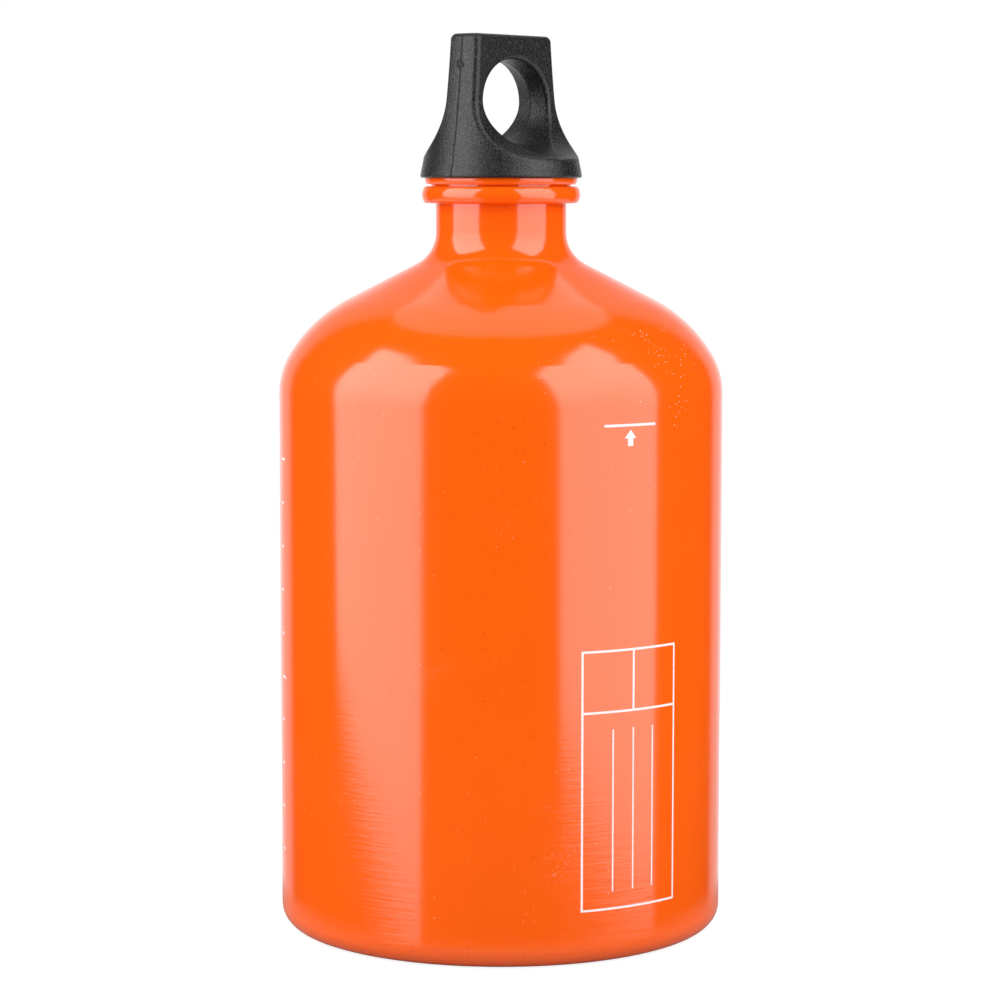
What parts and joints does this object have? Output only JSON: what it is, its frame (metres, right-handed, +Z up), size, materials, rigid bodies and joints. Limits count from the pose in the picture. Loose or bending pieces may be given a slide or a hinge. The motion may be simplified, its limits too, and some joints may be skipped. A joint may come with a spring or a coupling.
{
  "type": "camping fuel bottle",
  "caption": "Squat round painted aluminium bottle with a domed shoulder and threaded neck, closed by a black screw stopper with a carrying loop; stores liquid stove fuel.",
  "frame": {"origin": "on the bottle's axis, in the plane of its foot", "axes": "+Z up along the bottle's axis; the stopper's broad faces look along +Y and -Y at rest"},
  "size_m": [0.105, 0.105, 0.2113],
  "materials": {
    "painted_aluminium": "gloss orange paint outside, bare aluminium inside",
    "seal_rubber": "matte black rubber",
    "stopper_plastic": "matte black plastic with a fine moulded grain"
  },
  "bodies": {
    "bottle": {"bottle_body": "painted_aluminium"},
    "seal": {"sealing_ring": "seal_rubber"},
    "stopper": {"screw_stopper": "stopper_plastic"}
  },
  "joints": [
    {"name": "stopper_lift", "type": "slide", "parent": "bottle", "child": "seal", "axis": [0, 0, 1], "range_m": [0, 0.0241]},
    {"name": "stopper_turn", "type": "hinge", "parent": "seal", "child": "stopper", "pos_m": [0, 0, 0.181], "axis": [0, 0, 1], "range_deg": [0, 2160]}
  ],
  "couplings": [
    {"joint": "stopper_lift", "follows": "stopper_turn", "m_per_rad": 0.00063662}
  ]
}
